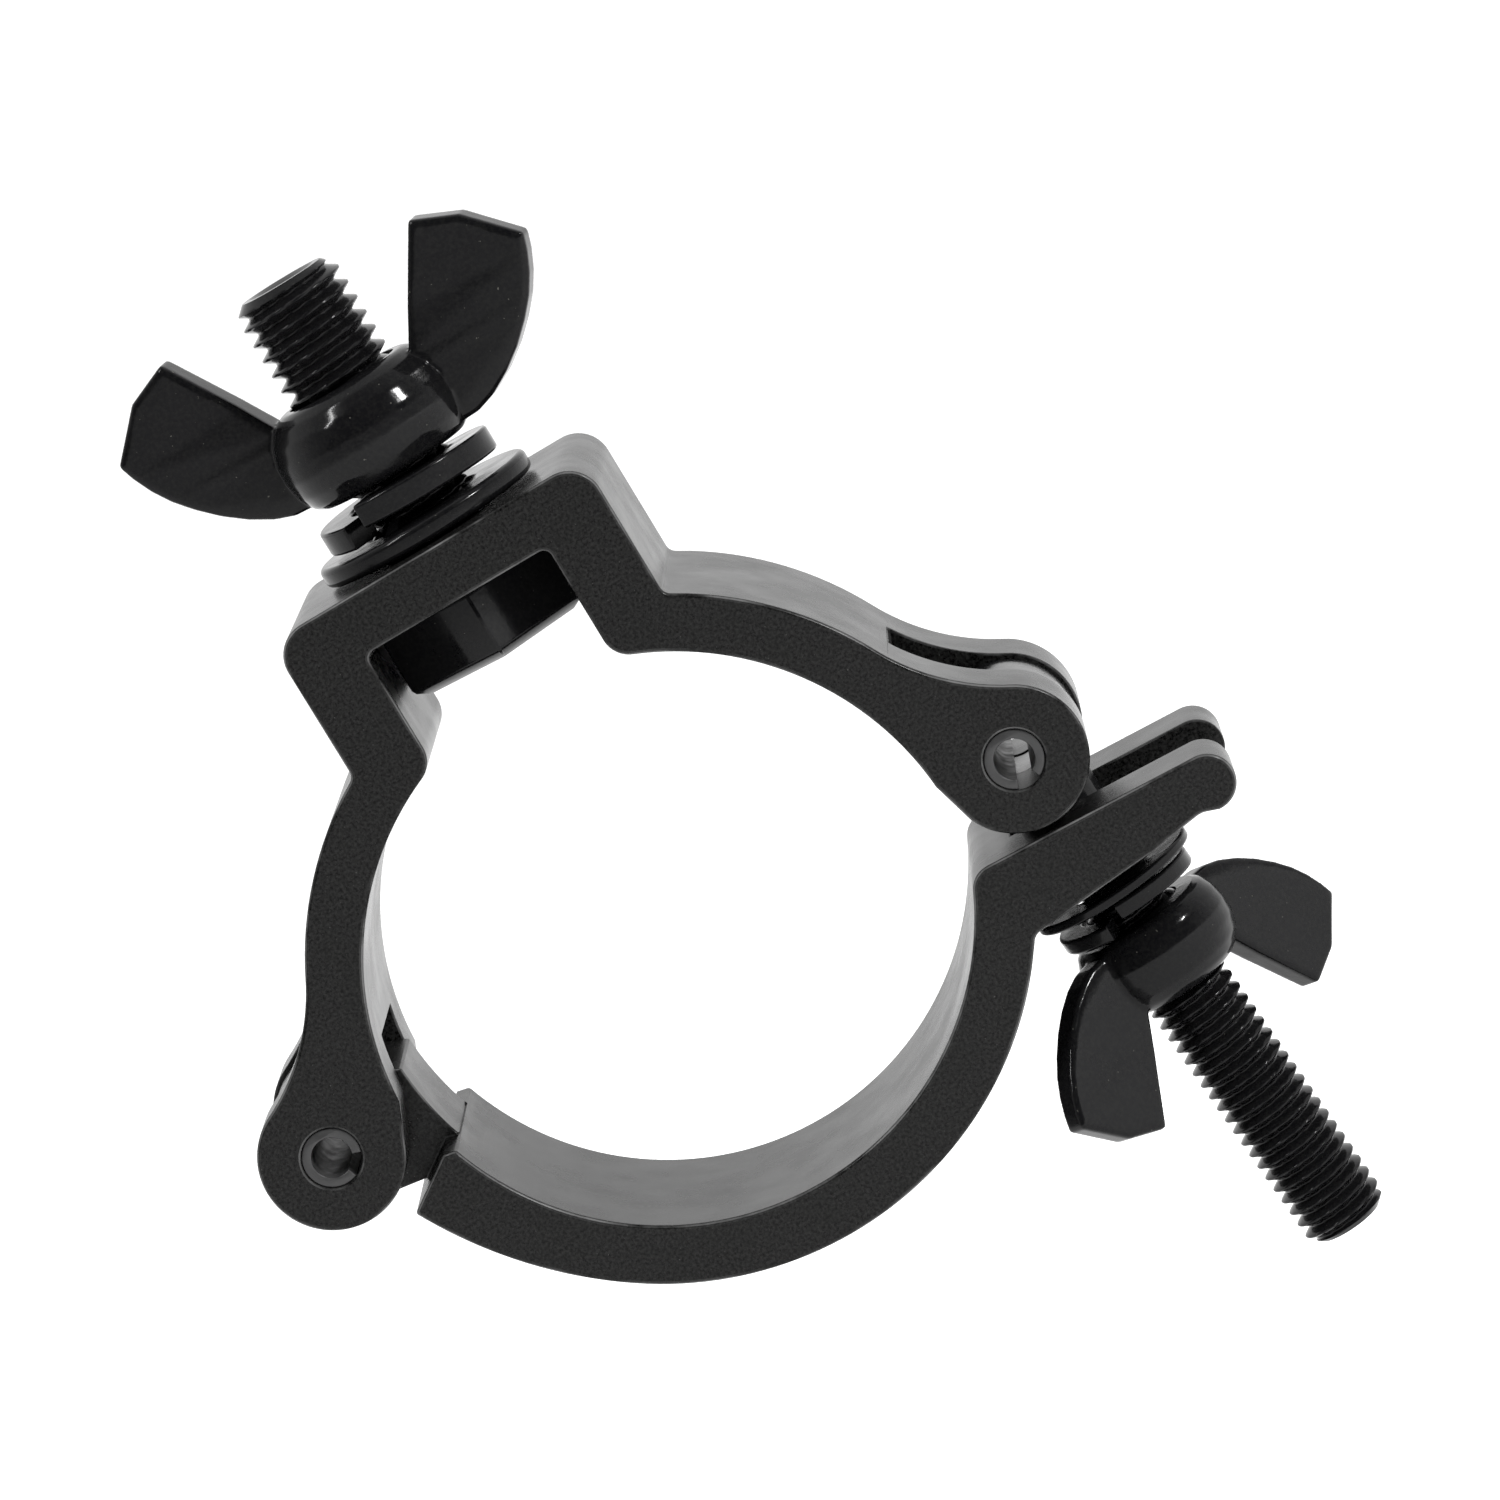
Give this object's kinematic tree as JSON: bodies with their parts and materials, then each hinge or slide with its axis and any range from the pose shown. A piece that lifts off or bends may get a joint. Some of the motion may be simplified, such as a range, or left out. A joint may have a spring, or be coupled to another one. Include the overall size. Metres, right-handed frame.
{
  "type": "pipe clamp",
  "caption": "Hinged clamp that shuts round a pipe with a swing bolt and wing nut, with an upright threaded bolt and wing nut on top to carry a light fitting.",
  "frame": {"origin": "on the axis of the round bore, at the middle of the jaws' width", "axes": "+Y along the bore, +Z from the bore towards the mounting bolt's threaded end, +X towards the swing bolt"},
  "size_m": [0.0906, 0.026, 0.118],
  "materials": {
    "jaw_paint": "satin black, very fine speckle",
    "black_hardware": "gloss black coating",
    "pin_steel": "dark spring steel, edges bare"
  },
  "bodies": {
    "upper_jaw": {"upper_jaw": "jaw_paint", "hinge_pin": "pin_steel", "swing_pin": "pin_steel", "mounting_bolt": "black_hardware"},
    "mounting_washers": {"mounting_flat_washer": "black_hardware", "mounting_lock_washer": "black_hardware"},
    "mounting_wing_nut": {"mounting_wing_nut": "black_hardware"},
    "lower_jaw": {"lower_jaw": "jaw_paint"},
    "swing_bolt": {"swing_bolt": "black_hardware"},
    "swing_washers": {"swing_flat_washer": "black_hardware", "swing_lock_washer": "black_hardware"},
    "swing_wing_nut": {"swing_wing_nut": "black_hardware"}
  },
  "joints": [
    {"name": "lower_jaw_hinge", "type": "hinge", "parent": "upper_jaw", "child": "lower_jaw", "pos_m": [-0.0341, 0, 0.0004], "axis": [0, 1, 0], "range_deg": [0, 50]},
    {"name": "swing_bolt_pivot", "type": "hinge", "parent": "upper_jaw", "child": "swing_bolt", "pos_m": [0.03345, 0, 0.0003], "axis": [0, -1, 0], "range_deg": [0, 82]},
    {"name": "swing_nut_travel", "type": "slide", "parent": "swing_bolt", "child": "swing_washers", "axis": [0.0671, 0, -0.9977], "range_m": [0, 0.0695]},
    {"name": "swing_nut_spin", "type": "hinge", "parent": "swing_washers", "child": "swing_wing_nut", "pos_m": [0.03345, 0, 0.0003], "axis": [0.0671, 0, -0.9977], "continuous": true},
    {"name": "mounting_nut_travel", "type": "slide", "parent": "upper_jaw", "child": "mounting_washers", "axis": [0, 0, 1], "range_m": [0, 0.0076]},
    {"name": "mounting_nut_spin", "type": "hinge", "parent": "mounting_washers", "child": "mounting_wing_nut", "pos_m": [0, 0, 0.0473], "axis": [0, 0, 1], "range_deg": [0, 1800]}
  ],
  "couplings": [
    {"joint": "swing_bolt_pivot", "follows": "lower_jaw_hinge", "ratio": 1.6},
    {"joint": "swing_nut_travel", "follows": "lower_jaw_hinge", "m_per_rad": 0.079},
    {"joint": "mounting_nut_travel", "follows": "mounting_nut_spin", "m_per_rad": 0.00023873}
  ]
}
